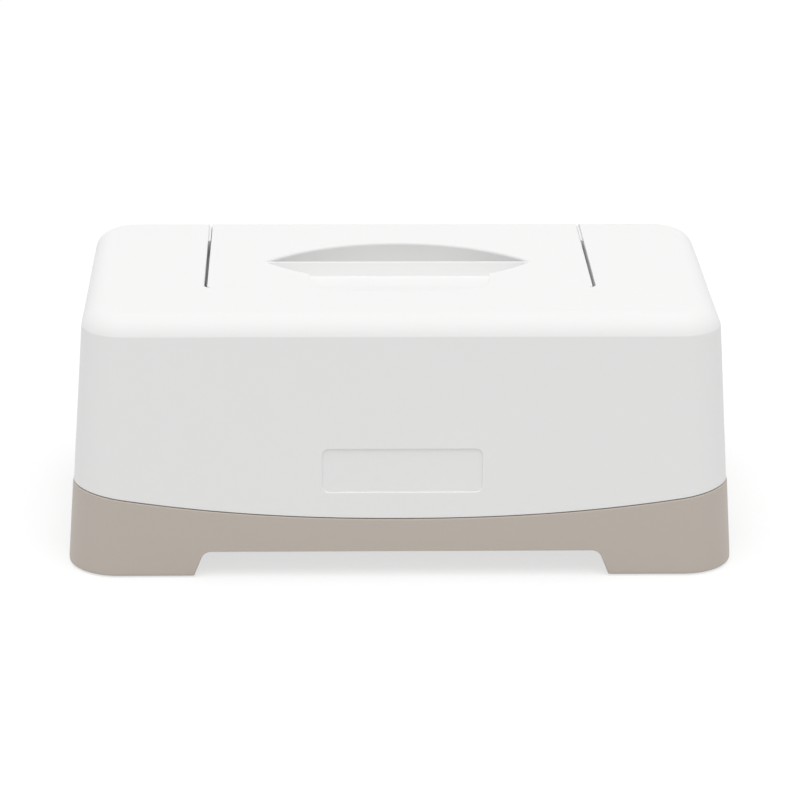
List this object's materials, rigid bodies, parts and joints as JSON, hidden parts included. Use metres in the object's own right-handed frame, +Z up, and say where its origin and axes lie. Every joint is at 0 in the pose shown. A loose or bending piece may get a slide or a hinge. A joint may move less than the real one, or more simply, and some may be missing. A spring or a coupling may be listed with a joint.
{
  "type": "baby wipes box",
  "caption": "Tapered plastic wipes dispenser box with a flip-up pinch-grip lid, a lift-off cover on a footed base tray, and a weighted press plate inside.",
  "frame": {"origin": "under the middle of the box, on the plane that the foot pads stand on", "axes": "+X along the length, +Y towards the hinge at the rear, +Z up"},
  "size_m": [0.251, 0.14, 0.0995],
  "materials": {
    "cover": "satin white",
    "base": "satin taupe",
    "plate": "fine matt off-white",
    "seal": "soft milky silicone",
    "pads": "matt rubber",
    "steel": "bright drawn steel"
  },
  "bodies": {
    "base": {"base_tray": "base", "foot_pad_front_left": "pads", "foot_pad_rear_left": "pads", "foot_pad_front_right": "pads", "foot_pad_rear_right": "pads"},
    "cover": {"cover_shell": "cover"},
    "lid": {"lid": "cover", "lid_seal": "seal", "hinge_pin_left": "steel", "hinge_pin_right": "steel"},
    "plate": {"press_plate": "plate", "weight_bar_left": "steel", "weight_cover_left": "plate", "weight_bar_right": "steel", "weight_cover_right": "plate"}
  },
  "joints": [
    {"name": "cover_lift", "type": "slide", "parent": "base", "child": "cover", "axis": [0, 0, 1], "range_m": [0, 0.08]},
    {"name": "lid_hinge", "type": "hinge", "parent": "cover", "child": "lid", "pos_m": [0, 0.05563, 0.0916], "axis": [-1, 0, 0], "range_deg": [0, 100]},
    {"name": "plate_ride", "type": "slide", "parent": "base", "child": "plate", "axis": [0, 0, 1], "range_m": [0, 0.055]}
  ]
}
